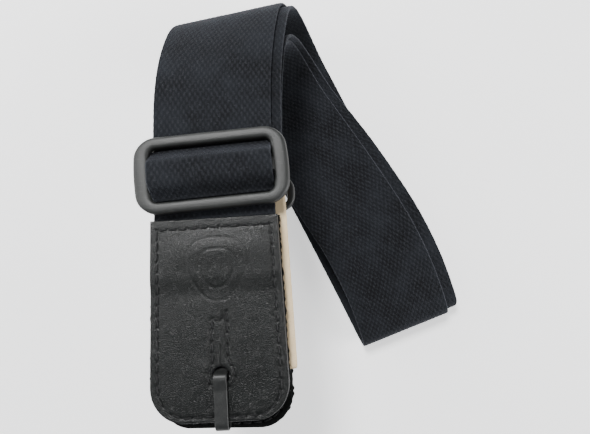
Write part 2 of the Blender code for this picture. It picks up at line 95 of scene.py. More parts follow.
CARD, CARD_PLACE, CARD_TILT = (50.0, 76.0, 0.6), (4.6, -43.0, -3.9), 1.0

# Weave: grains stand in columns, and each column is half a period off its neighbours
COLUMN, GRAIN, GRAIN_HEIGHT = 1.17, 3.8, 0.3
EDGE_ROUND = 0.9  # width of the webbing's rounded edge
ROW_STEP, RIBBON_STEP, LACE_STEP = 0.8, 0.7, 0.6  # spacing of the points along webbing, loops and lace
STITCH, THREAD = 4.3, 0.33  # a stitch's length, and its thread's radius
SLIDER_BOW, WINDOW_INSET = 1.4, 3.0  # outward bow of the slider's ends, and how far its window is drawn in
NEEDLE_DEPTH, NEEDLE_RADIUS = 0.55, 0.42
GROOVE_DEPTH, GROOVE_RADIUS = 0.16, 0.6  # the furrow a seam pulls into the leather
SLIT_DEPTH, SLIT_RADIUS = 0.3, 0.22
RIM_RADIUS, HOLE_LIP = 0.6, 0.35
BULGE_HEIGHT, BULGE_DOWN, BULGE_REACH = 0.8, 12.5, 5.5
EMBOSS_MIDDLE, EMBOSS_RADIUS, EMBOSS_SCALE = (0.5, 19.5), 12.5, 0.62
EMBOSS_DEPTH, EMBOSS_WIDTH = 0.22, 0.35
KNOT_DOWN, KNOT_SIZE = 11.0, (3.3, 1.9)
CARD_CORNER = 1.0
CAMERA_OFFSET = (-57.3, 54.8, 247.0)  # from the crease of the U-turn
LENS = 26.18


def smooth(x):
    x = np.clip(x, 0.0, 1.0)
    return x * x * (3 - 2 * x)


def lay_flat(s, t, sways):
    """Plan of the unfolded strip: straight along +Y, with an edgewise bend from each (start, bend)."""
    x, y, a = np.zeros_like(s), np.minimum(s, sways[0][0]), np.zeros_like(s)
    x0, y0, a0 = 0.0, sways[0][0], 0.0
    for i, (start, bend) in enumerate(sways):
        bend = bend if abs(bend) > 1e-7 else 1e-7
        length = (sways[i + 1][0] if i + 1 < len(sways) else 1e6) - start
        run = np.clip(s - start, 0.0, length)
        beyond = s > start
        x = np.where(beyond, x0 + (np.cos(a0) - np.cos(a0 + bend * run)) / bend, x)
        y = np.where(beyond, y0 + (np.sin(a0 + bend * run) - np.sin(a0)) / bend, y)
        a = np.where(beyond, a0 + bend * run, a)
        end = a0 + bend * length
        x0 += (math.cos(a0) - math.cos(end)) / bend
        y0 += (math.sin(end) - math.sin(a0)) / bend
        a0 = end
    return x + t * np.cos(a), y - t * np.sin(a)


def fold_strip(s, t, n, folds, sways):
    """Point at s along, t across and n above the strip, after its folds (start, skew, radius, turn, side)."""
    x, y = lay_flat(s, t, sways)
    px, py, pz = x.copy(), y.copy(), n * np.ones_like(x)
    for start, skew, radius, turn, side in reversed(folds):
        c, d = math.cos(skew), math.sin(skew)
        flat = x * d + (y - start) * c
        along = px * c - (py - start) * d
        over = px * d + (py - start) * c
        up = pz * side
        arc = radius * turn
        bent, past = (flat > 0) & (flat < arc), flat >= arc
        phi = np.clip(flat, 0.0, arc) / radius
        rest = over - arc
        new_over = np.where(bent, (radius - up) * np.sin(phi), over)
        new_up = np.where(bent, radius - (radius - up) * np.cos(phi), up)
        new_over = np.where(past, (radius - up) * math.sin(turn) + rest * math.cos(turn), new_over)
        new_up = np.where(past, radius - (radius - up) * math.cos(turn) + rest * math.sin(turn), new_up)
        px = along * c + new_over * d
        py = start - along * d + new_over * c
        pz = new_up * side
    return px, py, pz


class Strand:
    """One end of the strap's webbing, folded outwards from the U-turn's crease."""

    def __init__(self, folds, sways, angle):
        self.folds = [(s, math.radians(k), r, math.radians(a), side) for s, k, r, a, side in folds]
        self.sways = sways
        self.angle = math.radians(angle)

    def point(self, s, t, n):
        s = np.asarray(s, float)
        x, y, z = fold_strip(s, t + 0.0 * s, n, self.folds, self.sways)
        c, d = math.cos(self.angle), math.sin(self.angle)
        return np.stack([x * c - y * d + BASE[0], x * d + y * c + BASE[1], z + WEB_HALF], -1)

    def frame(self, s, side):
        """Matrix of a flat stretch: +X across, +Y back up the strand, +Z out of its face."""
        origin = self.point(s, 0.0, 0.0)
        y = origin - self.point(s + 1.0, 0.0, 0.0)
        z = side * (self.point(s, 0.0, 1.0) - origin)
        x = np.cross(y, z)
        axes = [Vector(v / np.linalg.norm(v)) for v in (x, y, z)]
        made = Matrix([[axes[j][i] for j in range(3)] for i in range(3)]).to_4x4()
        made.translation = Vector(origin)
        return made


OUTER_END = LOWER_LENGTH + OUTER_RADIUS * math.radians(OUTER_TURN) + EASE_RADIUS * math.radians(EASE_TURN)
UTURN_END = UTURN_START + UTURN_RADIUS * math.radians(UTURN_TURN)
INNER_END = UTURN_END + UPPER_LENGTH + INNER_RADIUS * math.radians(INNER_TURN)
FRONT_STATION, REAR_STATION = OUTER_END + SLIDER_AT, INNER_END + RING_AT
EASE_AT = LOWER_LENGTH + OUTER_RADIUS * math.radians(OUTER_TURN) / math.cos(math.radians(OUTER_SKEW))
outer = Strand(
    [(LOWER_LENGTH, OUTER_SKEW, OUTER_RADIUS, OUTER_TURN, 1),
     (EASE_AT, OUTER_SKEW, EASE_RADIUS, EASE_TURN, 1)],
    [(0.0, LOWER_SWAY), (SWAY_LENGTH, 0.0), (OUTER_END - FRONT_SWAY_HALF, FRONT_SWAY),
     (OUTER_END + FRONT_SWAY_HALF, 0.0)],
    BASE_ANGLE,
)
inner = Strand(
    [(UTURN_START, UTURN_SKEW, UTURN_RADIUS, UTURN_TURN, 1),
     (UTURN_END, 0.0, ARCH_LENGTH / math.radians(ARCH_TURN), ARCH_TURN, 1),
     (UTURN_END + UPPER_LENGTH, INNER_SKEW, INNER_RADIUS, INNER_TURN, -1)],
    [(UTURN_END, BAND_SWAY[0]), (BAND_SWAY_BREAK, BAND_SWAY[1]), (INNER_END + REAR_SWAY_REACH[0], REAR_SWAY),
     (INNER_END + REAR_SWAY_REACH[1], 0.0)],
    BASE_ANGLE + 180.0,
)
FRONT = outer.frame(FRONT_STATION, -1)
SLIDER = FRONT @ Matrix.Rotation(math.radians(SLIDER_TILT), 4, "Z")
RING = inner.frame(REAR_STATION, 1) @ Matrix.Translation((0, 0, LAYER_STEP / 2))


def world(matrix, points):
    """Points of a local frame, in millimetres, as an array in the world's millimetres."""
    m = np.array(matrix)
    return np.asarray(points, float) @ m[:3, :3].T + m[:3, 3]


# ---------------------------------------------------------------- noise and meshes


def noise(x, y, cell, seed):
    """Smooth seeded noise from -1 to 1 over a plane, with features about cell across."""
    table = np.random.default_rng(seed).uniform(-1, 1, (256, 256))
    u, v = np.asarray(x, float) / cell, np.asarray(y, float) / cell
    i, j = np.floor(u).astype(int), np.floor(v).astype(int)
    fu, fv = smooth(u - i), smooth(v - j)
    a, b = table[i % 256, j % 256], table[(i + 1) % 256, j % 256]
    c, d = table[i % 256, (j + 1) % 256], table[(i + 1) % 256, (j + 1) % 256]
    return (a * (1 - fu) + b * fu) * (1 - fv) + (c * (1 - fu) + d * fu) * fv


def new_object(name, points, faces, look, body, replaced=(), layers=None, uv=None, blend=None):
    """A smooth-shaded piece from points in millimetres.

    layers are float attributes, and uv is a plan map in millimetres.
    """
    mesh = bpy.data.meshes.new(name)
    mesh.from_pydata((np.asarray(points, float) * MM).tolist(), [], faces)
    mesh.materials.append(look)
    mesh.shade_smooth()
    for key, values in (layers or {}).items():
        mesh.attributes.new(key, "FLOAT", "POINT").data.foreach_set("value", np.asarray(values, np.float32))
    if uv is not None:
        corners = np.zeros(len(mesh.loops), np.int32)
        mesh.loops.foreach_get("vertex_index", corners)
        made = mesh.uv_layers.new(name="plan")
        made.data.foreach_set("uv", np.asarray(uv, np.float32)[corners].reshape(-1))
    obj = bpy.data.objects.new(name, mesh)
    bpy.context.scene.collection.objects.link(obj)
    if blend:
        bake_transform(obj)
    else:
        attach(obj, body)
    if replaced:
        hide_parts(*replaced)
    return obj


def grid_faces(rows, cols, first=0, flip=False, wrap=False):
    """Quads of a grid of points stored row by row; wrap joins the last column to the first."""
    i, j = np.meshgrid(np.arange(rows - 1), np.arange(cols if wrap else cols - 1), indexing="ij")
    a, b = i * cols + j, i * cols + (j + 1) % cols
    quads = np.stack([a, b, b + cols, a + cols], -1).reshape(-1, 4) + first
    return (quads[:, ::-1] if flip else quads).tolist()


def loop_faces(rows, cols):
    """A grid wrapped both ways: rings of cols points, with the last ring joined to the first."""
    faces = grid_faces(rows, cols, wrap=True)
    last = (rows - 1) * cols
    return faces + [(last + j, last + (j + 1) % cols, (j + 1) % cols, j) for j in range(cols)]


def shell_faces(rows, cols):
    """A closed tube of rows rings with cols points each, with both ends capped."""
    faces = grid_faces(rows, cols, wrap=True)
    faces.append(list(range(cols))[::-1])
    faces.append(list(range((rows - 1) * cols, rows * cols)))
    return faces


def sweep(centres, sides, ups, section):
    """Rings of a section (across, up) carried along centres, each with its own side and up directions."""
    rings = []
    for p, a, b in zip(centres, sides, ups):
        rings.append([np.asarray(p) + u * np.asarray(a) + v * np.asarray(b) for u, v in section])
    return np.array(rings)


def rounded_section(half_width, half_thick, radius, steps=3):
    """Outline of a strip's cross-section with rounded corners, anticlockwise."""
    found = []
    for quarter, (sx, sy) in enumerate(((1, 1), (-1, 1), (-1, -1), (1, -1))):
        for k in range(steps + 1):
            a = math.radians(90 * (quarter + k / steps))
            x = sx * (half_width - radius) + radius * math.cos(a)
            found.append((x, sy * (half_thick - radius) + radius * math.sin(a)))
    return found


# ---------------------------------------------------------------- materials


class Look:
    """A Principled material with helpers for its procedural nodes."""

    def __init__(self, name, colour, roughness, **sockets):
        self.material = bpy.data.materials.new(name)
        self.material.use_nodes = True
        self.nodes, self.links = self.material.node_tree.nodes, self.material.node_tree.links
        self.shader = self.nodes["Principled BSDF"]
        self.shader.inputs["Base Color"].default_value = (*colour, 1)
        self.shader.inputs["Roughness"].default_value = roughness
        for key, value in sockets.items():
            self.shader.inputs[key.replace("_", " ")].default_value = value

    def new(self, kind, inputs=None, **settings):
        node = self.nodes.new(kind)
        for key, value in settings.items():
            setattr(node, key, value)
        for key, value in (inputs or {}).items():
            if isinstance(value, bpy.types.NodeSocket):
                self.links.new(value, node.inputs[key])
            else:
                node.inputs[key].default_value = value
        return node

    def plan(self, scale=(1, 1, 1)):
        """Coordinates over the sheet in millimetres, from the piece's own plan map."""
        uv = self.new("ShaderNodeUVMap", uv_map="plan")
        return self.new("ShaderNodeMapping", {"Vector": uv.outputs[0], "Scale": scale}).outputs[0]

    def solid(self, scale):
        """Coordinates through the object, scaled."""
        spot = self.new("ShaderNodeTexCoord").outputs["Object"]
        return self.new("ShaderNodeMapping", {"Vector": spot, "Scale": (scale,) * 3}).outputs[0]

    def noise(self, vector, scale, detail=3.0, roughness=0.6):
        inputs = {"Vector": vector, "Scale": scale, "Detail": detail, "Roughness": roughness}
        return self.new("ShaderNodeTexNoise", inputs).outputs["Fac"]

    def wave(self, vector, scale, distortion=0.0):
        inputs = {"Vector": vector, "Scale": scale, "Distortion": distortion}
        return self.new("ShaderNodeTexWave", inputs).outputs["Fac"]

    def layer(self, name):
        return self.new("ShaderNodeAttribute", attribute_name=name).outputs["Fac"]

    def ramp(self, fac, low, high):
        """fac rescaled so that low gives 0 and high gives 1."""
        inputs = {"Value": fac, "From Min": low, "From Max": high}
        return self.new("ShaderNodeMapRange", inputs).outputs["Result"]

    def math(self, operation, a, b):
        return self.new("ShaderNodeMath", {0: a, 1: b}, operation=operation).outputs[0]

    def mix(self, fac, a, b):
        """Colour a where fac is 0, b where it is 1. Each is a colour or another mix's output."""
        a, b = ((*c, 1) if isinstance(c, tuple) else c for c in (a, b))
        return self.new("ShaderNodeMix", {"Factor": fac, 6: a, 7: b}, data_type="RGBA").outputs[2]

    def colour(self, output):
        self.links.new(output, self.shader.inputs["Base Color"])

    def roughness(self, fac, low, high):
        inputs = {"Value": fac, "To Min": low, "To Max": high}
        result = self.new("ShaderNodeMapRange", inputs).outputs["Result"]
        self.links.new(result, self.shader.inputs["Roughness"])

    def bump(self, height, distance, strength=1.0):
        node = self.new("ShaderNodeBump", {"Height": height, "Distance": distance * MM, "Strength": strength})
        self.links.new(node.outputs[0], self.shader.inputs["Normal"])


def webbing_look():
    look = Look("webbing_cotton", (0.012, 0.013, 0.018), 0.9, Sheen_Weight=0.14, Sheen_Roughness=0.4,
                Specular_IOR_Level=0.12)
    look.shader.inputs["Sheen Tint"].default_value = (0.75, 0.8, 0.95, 1)
    plan = look.plan()
    height, fluff = look.layer("weave"), look.noise(plan, 0.9, 4.0)
    patch = look.noise(plan, 0.05, 2.0)
    # Painted shade: the weave's valleys are coloured darker than its grain tops, following the weave height
    yarn_with_painted_valley_shade = look.mix(look.ramp(height, 0.15, 0.95), (0.0022, 0.0024, 0.003), (0.019, 0.0205, 0.024))
    dusty = look.mix(look.ramp(fluff, 0.56, 0.8), yarn_with_painted_valley_shade, (0.042, 0.045, 0.050))
    worn = look.mix(look.ramp(patch, 0.35, 0.75), dusty, (0.022, 0.025, 0.031))
    look.colour(look.mix(0.45, dusty, worn))
    strands = look.wave(look.plan((1, 0.22, 1)), 2.6, 2.5)
    look.bump(look.math("MULTIPLY_ADD", strands, 0.5), 0.1)
    look.roughness(fluff, 0.82, 0.97)
    return look.material


def leather_look(name, flesh=False):
    look = Look(name, (0.02, 0.022, 0.021), 0.4, Specular_IOR_Level=0.12 if flesh else 0.3)
    plan = look.plan()
    cloud, pores = look.noise(plan, 0.12, 4.0), look.noise(plan, 2.6, 5.0)
    cells = look.new("ShaderNodeTexVoronoi", {"Vector": plan, "Scale": 1.5}, feature="DISTANCE_TO_EDGE")
    creases = cells.outputs[0]
    face = look.mix(look.ramp(cloud, 0.3, 0.7), (0.0025, 0.003, 0.0028), (0.006, 0.0068, 0.0064))
    scuffed = look.mix(look.ramp(pores, 0.62, 0.8), face, (0.016, 0.017, 0.0165))
    look.colour(look.mix(look.layer("edge"), scuffed, (0.020, 0.021, 0.023)))
    relief = look.math("MULTIPLY_ADD", look.ramp(creases, 0.0, 0.16), 0.5)
    look.bump(look.math("ADD", relief, look.math("MULTIPLY", pores, 0.9)), 0.35 if flesh else 0.1)
    look.roughness(cloud, 0.7 if flesh else 0.26, 0.85 if flesh else 0.38)
    return look.material


def plastic_look():
    look = Look("moulded_plastic", (0.05, 0.053, 0.05), 0.42, Specular_IOR_Level=0.38)
    spot = look.solid(1000)
    grain, cloud = look.noise(spot, 5.0, 3.0), look.noise(spot, 0.08, 3.0)
    drawn_out = look.new("ShaderNodeMapping", {"Vector": spot, "Scale": (0.15, 1.6, 1)}).outputs[0]
    streak = look.noise(drawn_out, 1.0, 3.0)
    tone = look.mix(look.ramp(cloud, 0.3, 0.7), (0.010, 0.011, 0.0105), (0.019, 0.020, 0.019))
    look.colour(look.mix(look.ramp(streak, 0.6, 0.8), tone, (0.034, 0.036, 0.034)))
    look.bump(look.math("ADD", grain, look.math("MULTIPLY", streak, 0.5)), 0.06)
    look.roughness(cloud, 0.36, 0.52)
    return look.material


def thread_look():
    look = Look("waxed_thread", (0.008, 0.008, 0.009), 0.5, Specular_IOR_Level=0.4)
    twist = look.wave(look.plan((1, 1, 1)), 1.1, 0.0)
    look.colour(look.mix(twist, (0.002, 0.002, 0.0025), (0.009, 0.0095, 0.010)))
    look.bump(twist, 0.12)
    look.roughness(look.noise(look.plan(), 2.0), 0.35, 0.6)
    return look.material


def lace_look():
    look = Look("flat_lace", (0.02, 0.021, 0.02), 0.45, Specular_IOR_Level=0.5)
    plan = look.plan()
    grain, cloud = look.noise(look.plan((3, 0.7, 1)), 1.2, 4.0), look.noise(plan, 0.25, 3.0)
    tone = look.mix(look.ramp(cloud, 0.3, 0.75), (0.008, 0.0085, 0.0085), (0.018, 0.019, 0.018))
    look.colour(look.mix(look.ramp(grain, 0.6, 0.85), tone, (0.034, 0.036, 0.034)))
    look.bump(grain, 0.12)
    look.roughness(cloud, 0.34, 0.55)
    return look.material


def card_look():
    look = Look("kraft_card", (0.47, 0.36, 0.22), 0.85, Specular_IOR_Level=0.25)
    plan = look.plan()
    fibres, cloud = look.noise(look.plan((0.5, 2.2, 1)), 1.6, 5.0), look.noise(plan, 0.08, 3.0)
    tone = look.mix(look.ramp(cloud, 0.3, 0.7), (0.62, 0.48, 0.29), (0.70, 0.56, 0.37))
    look.colour(look.mix(look.ramp(fibres, 0.55, 0.75), tone, (0.50, 0.36, 0.20)))
    look.bump(fibres, 0.05)
    look.roughness(fibres, 0.78, 0.92)
    return look.material


def floor_look():
    look = Look("pale_table", (0.95, 0.95, 0.95), 0.75, Specular_IOR_Level=0.2)
    look.colour(look.mix(look.noise(look.solid(60), 1.0, 3.0), (0.94, 0.94, 0.945), (0.97, 0.97, 0.97)))
    look.shader.inputs["Emission Color"].default_value = (1.0, 1.0, 1.0, 1)
    look.shader.inputs["Emission Strength"].default_value = 0.66
    return look.material


# ---------------------------------------------------------------- webbing


def weave(s, t, seed):
    """Height of the weave's grains over their valleys, from 0 to 1."""
    grain = 0.5 + 0.5 * np.cos(2 * math.pi * s / GRAIN) * np.cos(math.pi * t / COLUMN)
    ridge = 0.5 + 0.5 * np.cos(2 * math.pi * t / COLUMN)
    uneven = 0.86 + 0.2 * noise(s, t, 1.9, seed) + 0.1 * noise(s, t, 0.8, seed + 1)
    return np.clip((0.78 * grain**1.3 + 0.22 * ridge) * uneven, 0.0, 1.0)


def web_section(columns, both):
    """Loop round the webbing as (across, side, share of half its thickness), and which points carry weave."""
    flat, bend = WEB_WIDTH / 2 - EDGE_ROUND, np.radians([22, 45, 68])
    front = np.linspace(-flat, flat, columns)
    back = np.linspace(flat, -flat, columns if both else 7)
    right = [(flat + EDGE_ROUND * math.sin(a), math.cos(a)) for a in bend]
    left = [(-x, level) for x, level in right]
    t = list(front) + [x for x, _ in right] + [WEB_WIDTH / 2] + [x for x, _ in reversed(right)]
    n = [-1.0] * columns + [-level for _, level in right] + [0.0] + [level for _, level in reversed(right)]
    t += list(back) + [x for x, _ in left] + [-WEB_WIDTH / 2] + [x for x, _ in reversed(left)]
    n += [1.0] * len(back) + [level for _, level in left] + [0.0] + [-level for _, level in reversed(left)]
    woven = [1.0] * columns + [0.8, 0.6, 0.4, 0.3, 0.4, 0.6, 0.8]
    woven += [1.0 if both else 0.0] * len(back) + [0.8, 0.6, 0.4, 0.3, 0.4, 0.6, 0.8]
    return np.array(t), np.array(n), np.array(woven)


def web_body(stations, columns, both, seed, place):
    """Points and weave heights of a webbing tube; place(s, t, n) puts a point of the flat webbing."""
    t, n, woven = web_section(columns, both)
    s, t = np.meshgrid(stations, t, indexing="ij")
    height = weave(s, t, seed)
    level = n * (WEB_HALF - GRAIN_HEIGHT * woven * (1 - height) * np.abs(n))
    level = level + 0.05 * noise(s, t, 14.0, seed + 2) * (np.abs(n) > 0.99) * np.where(n > 0, -1, 1)
    ragged = 0.12 * noise(s, 0 * s + 3.0, 0.9, seed + 3) * (np.abs(n) < 0.5) * np.sign(t)
    points = place(s, t + ragged, np.clip(level, -WEB_HALF, WEB_HALF))
    shade = np.where(woven > 0, height, 0.5)
    return points, shade, np.stack([t, s], -1)


def web_piece(name, body, stations, columns, both, seed, place, replaced, closed=False, blend=None):
    points, shade, plan = web_body(stations, columns, both, seed, place)
    rows, cols = shade.shape
    faces = loop_faces(rows, cols) if closed else shell_faces(rows, cols)
    return new_object(name, points.reshape(-1, 3), faces, WEBBING, body, replaced,
                      {"weave": shade.ravel()}, plan.reshape(-1, 2), blend)


def strip_point(u, t, n):
    """u runs from the ring's end (below 0), over the U-turn's crease at 0, to the front leather end."""
    front = outer.point(np.maximum(u, 0.0), t, n)
    back = inner.point(np.maximum(-u, 0.0), -t, n)
    return np.where((u >= 0)[..., None], front, back)


def make_running_layer():
    start = -(REAR_STATION - (LOOP_OPEN + RING_BAR + 0.3))
    end = FRONT_STATION - FRONT_TAB_TOP + TAIL_LENGTH
    stations = np.linspace(start, end, round((end - start) / ROW_STEP))
    hinge = [Vector(world(FRONT, (0, FRONT_TAB_TOP + 0.8 + y, 0))) * MM for y in (3.0, -3.0)]
    return web_piece("webbing_run", "webbing", stations, 125, False, 11, strip_point,
                     ("web_front_run", "web_rear_run", "front_web_tail"),
                     blend=("webbing", "front_end", *hinge))


def make_return_layer():
    rear_end = REAR_STATION - (LOOP_OPEN + RING_BAR + 0.3)
    stations = np.linspace(-rear_end, FRONT_STATION + RETURN_PAST_SLIDER, 560)

    def place(u, t, n):
        back = np.maximum(-u, 0.0)
        grown = RUN_SHIFT + (BAND_SHIFT - RUN_SHIFT) * smooth((back - 0.15) / 25.0)
        band = grown * (1 - smooth((back - 105.0) / (rear_end - 125.0)))
        return strip_point(u, t + np.where(u >= 0, RUN_SHIFT, band), LAYER_STEP + n)

    return web_piece("webbing_return", "webbing", stations, 64, True, 31, place,
                     ("web_front_return", "web_rear_return"))


def even_path(path, step, closed=False):
    """(y, z) points resampled evenly, with their distances and directions."""
    path = np.asarray(path, float)
    if closed:
        path = np.vstack([path, path[:1]])
    gone = np.concatenate([[0], np.cumsum(np.linalg.norm(np.diff(path, axis=0), axis=1))])
    s = np.linspace(0, gone[-1], max(8, round(gone[-1] / step)))
    if closed:
        s = s[:-1]
    p = np.stack([np.interp(s, gone, path[:, k]) for k in (0, 1)], -1)
    ahead, behind = np.roll(p, -1, axis=0), np.roll(p, 1, axis=0)
    if not closed:
        ahead[-1], behind[0] = p[-1], p[0]
    d = ahead - behind
    return s, p, d / np.linalg.norm(d, axis=1)[:, None]


def web_ribbon(name, body, matrix, path, columns, seed, replaced, closed=False):
    """Webbing across X that follows a (y, z) path of a local frame."""
    s, p, d = even_path(path, RIBBON_STEP, closed)

    def place(u, t, n):
        at = np.arange(len(s))[:, None] + 0 * t.astype(int)
        y = p[at, 0] - d[at, 1] * n
        z = p[at, 1] + d[at, 0] * n
        return world(matrix, np.stack([t, y, z], -1))

    return web_piece(name, body, s, columns, True, seed, place, replaced, closed)


def bar_loop_path(bar, turned, far):
    middle = LAYER_STEP / 2
    path = []
    for y in (*np.linspace(far, LOOP_OPEN, 3)[:-1], *np.linspace(LOOP_OPEN, 0.0, 14)):
        path.append((y, middle + (LOOP_RADIUS - middle) * (1 - smooth(y / LOOP_OPEN))))
    arc = [(LOOP_RADIUS * math.cos(a), LOOP_RADIUS * math.sin(a)) for a in np.radians(np.arange(97, 265, 7))]
    back = [(y, -z) for y, z in reversed(path)]
    return [(bar + turned * y, z) for y, z in path + arc + back]


def make_loops():
    y = np.linspace(-WAVE_REACH, WAVE_REACH, 60)
    lift = 1 - smooth((np.abs(y) - WAVE_FLAT) / (WAVE_REACH - 0.5 - WAVE_FLAT))
    wave = np.stack([y, WAVE_LEVELS[0] + (WAVE_LEVELS[1] - WAVE_LEVELS[0]) * lift], -1)
    web_ribbon("slider_web_wave_cloth", "slider", SLIDER, wave, 125, 51, ("slider_web_wave",))
    grow, middle = LOOP_GAP + WEB_HALF, sum(BAR_LEVELS) / 2
    half_y, half_z = BAR_HALF + grow, (BAR_LEVELS[1] - BAR_LEVELS[0]) / 2 + grow
    loop = [(a, middle + b) for a, b in rounded_section(half_y, half_z, 1.6, 6)]
    web_ribbon("slider_sewn_loop_cloth", "slider", SLIDER, loop, 44, 61, ("slider_sewn_loop",), closed=True)
    web_ribbon("ring_web_loop_cloth", "webbing", RING, bar_loop_path(RING_BAR, 1, LOOP_OPEN), 64, 71,
               ("ring_web_loop",))
    tail = -REAR_TAB_TOP + TAIL_LENGTH - RING_BAR
    web_ribbon("rear_loop_cloth", "rear_end", RING, bar_loop_path(-RING_BAR, -1, tail), 64, 81,
               ("rear_loop",))


# ---------------------------------------------------------------- slider and ring


def frame_outline(length, height, radius, bow, steps=8):
    """Rounded rectangle whose short sides bow outwards, with points along its straight sides."""
    points = []
    a, b = length / 2 - radius, height / 2 - radius
    corners = (((a, b), 0), ((-a, b), 90), ((-a, -b), 180), ((a, -b), 270))
    for k, ((x, y), start) in enumerate(corners):
        for i in range(steps + 1):
            turn = math.radians(start + 90 * i / steps)
            points.append((x + radius * math.cos(turn), y + radius * math.sin(turn)))
        (x2, y2), after = corners[(k + 1) % 4][0], math.radians(start + 90)
        edge = np.array([x + radius * math.cos(after), y + radius * math.sin(after)])
        far = np.array([x2 + radius * math.cos(after), y2 + radius * math.sin(after)])
        points += [tuple(edge + (far - edge) * i / 10) for i in range(1, 10)]
    points = np.array(points)
    points[:, 0] += np.sign(points[:, 0]) * bow * np.clip(1 - (2 * points[:, 1] / height) ** 2, 0, 1)
    return points


def frame_piece(name, body, matrix, size, window, levels, bow, replaced, bar=None, inset=0.0):
    """A moulded frame with a rounded section, and its middle bar if it has one."""
    outline, hole = frame_outline(*size, bow), frame_outline(window[0] - inset, *window[1:], 0.3 * bow)
    middle, half = sum(levels) / 2, (levels[1] - levels[0]) / 2
    rings = []
    for a in np.radians(np.arange(0, 360, 20)):
        c, d = math.cos(a), math.sin(a)
        share = 0.5 - 0.5 * math.copysign(abs(c) ** 0.6, c)
        z = middle + half * math.copysign(abs(d) ** 0.55, d)
        plan = outline + (hole - outline) * share
        rings.append(np.column_stack([plan, np.full(len(plan), z)]))
    rings = np.array(rings)
    faces = loop_faces(*rings.shape[:2])
    points = rings.reshape(-1, 3)
    if bar:
        half_y, low, high = bar
        section = rounded_section(half_y, (high - low) / 2, 0.7)
        reach = np.linspace(-window[0] / 2 - 1.0, window[0] / 2 + 1.0, 12)
        added = np.array([[(x, y, (low + high) / 2 + z) for y, z in section] for x in reach])
        faces += [[v + len(points) for v in f] for f in shell_faces(len(reach), len(section))]
        points = np.vstack([points, added.reshape(-1, 3)])
    plan = points[:, :2]
    return new_object(name, world(matrix, points), faces, PLASTIC, body, replaced, None, plan)


# ---------------------------------------------------------------- leather ends


def tab_half_width(down):
    down = np.asarray(down, float)
    half = TAB_HALF[0] + (TAB_HALF[1] - TAB_HALF[0]) * down / TAB_LENGTH
    into = np.clip(down - (TAB_LENGTH - TAB_CORNER), 0, TAB_CORNER)
    return half - TAB_CORNER + np.sqrt(TAB_CORNER**2 - into**2)


def inner_level(down, pad):
    return pad + (SEAM_GAP - pad) * smooth((np.asarray(down, float) - TAIL_LENGTH) / TAIL_FADE)


def even_line(points, step):
    """A plan line resampled to about step, with a point on each end."""
    points = np.asarray(points, float)
    gone = np.concatenate([[0], np.cumsum(np.linalg.norm(np.diff(points, axis=0), axis=1))])
    s = np.linspace(0, gone[-1], max(2, round(gone[-1] / step) + 1))
    return np.stack([np.interp(s, gone, points[:, k]) for k in (0, 1)], -1)


def border_line():
    """The border seam as (x, down), from one sewn corner round the free end to the other."""
    straight = np.linspace(4.0, TAB_LENGTH - TAB_CORNER, 12)
    side = [(float(tab_half_width(d)) - BORDER_INSET, d) for d in straight]
    x, down = TAB_HALF[1] - TAB_CORNER, TAB_LENGTH - TAB_CORNER
    wide, deep = TAB_CORNER - BORDER_INSET, TAB_CORNER - BORDER_END
    turns = np.radians(np.arange(8, 91, 8))
    side += [(x + wide * math.cos(a), down + deep * math.sin(a)) for a in turns]
    return side + [(-x, down) for x, down in reversed(side)]


def top_line():
    """The seam across the sewn end, as (x, down)."""
    reach = TAB_HALF[0] - BORDER_INSET
    return [(-reach, 4.0), (reach, 4.0)]


def keyhole_line(hole_x):
    """The seam round the button hole, whose two lines close above the slit, as (x, down)."""
    middle = TAB_LENGTH - BUTTON_UP
    opening = math.degrees(math.asin(KEYHOLE_HALF / KEYHOLE_RADIUS))
    points = [(hole_x + 0.6, middle - KEYHOLE_RISE + 1.0), (hole_x - KEYHOLE_HALF, middle - KEYHOLE_RISE)]
    points.append((hole_x - KEYHOLE_HALF, middle - 9.0))
    for a in np.radians(np.linspace(opening, 360 - opening, 25)):
        points.append((hole_x - KEYHOLE_RADIUS * math.sin(a), middle - KEYHOLE_RADIUS * math.cos(a)))
    points += [(hole_x + KEYHOLE_HALF, middle - 9.0), (hole_x + KEYHOLE_HALF, middle - KEYHOLE_RISE - 2.4)]
    return points + [(hole_x + 0.6, middle - KEYHOLE_RISE + 1.0)]


def nearest(x, y, line):
    """Distance from each (x, y) to the nearest point of a dense line."""
    found = np.full(x.size, 1e9)
    px, py = x.ravel(), y.ravel()
    for i in range(0, len(line), 64):
        part = line[i : i + 64]
        gap = (px[:, None] - part[None, :, 0]) ** 2 + (py[:, None] - part[None, :, 1]) ** 2
        found = np.minimum(found, gap.min(1))
    return np.sqrt(found).reshape(x.shape)


def keyhole_distance(x, down, hole_x):
    """Signed distance to the button hole's rim, negative inside the hole."""
    return np.hypot(x - hole_x, down - (TAB_LENGTH - BUTTON_UP)) - BUTTON_HOLE


def slit_distance(x, down, hole_x):
    """Distance to the slit above the button hole, whose two lips touch."""
    middle = TAB_LENGTH - BUTTON_UP
    near = np.clip(down, middle - BUTTON_HOLE - SLIT_LENGTH, middle)
    return np.hypot(x - hole_x, down - near)


def furrow(distance, depth, radius):
    """Depth of a soft-sided furrow at this distance from its middle."""
    return depth * np.exp(-((distance / radius) ** 2))


def bulge(x, down):
    """How far the face swells over the webbing sewn into it, below its top seam."""
    swell = BULGE_HEIGHT * np.exp(-(((down - BULGE_DOWN) / BULGE_REACH) ** 2)) - 0.1
    return swell * (1 - (x / tab_half_width(down)) ** 2)


def emboss_distance(x, down):
    """Distance to the nearer of two plain plectrum outlines pressed into the leather."""
    turns = np.linspace(0, 2 * math.pi, 240)
    radius = EMBOSS_RADIUS + 1.1 * np.cos(3 * turns)
    middle_x, middle_down = EMBOSS_MIDDLE
    line = np.stack([middle_x + radius * np.sin(turns) * 0.95, middle_down + radius * np.cos(turns)], -1)
    inner_line = (line - EMBOSS_MIDDLE) * EMBOSS_SCALE + EMBOSS_MIDDLE
    return np.minimum(nearest(x, down, line), nearest(x, down, inner_line))


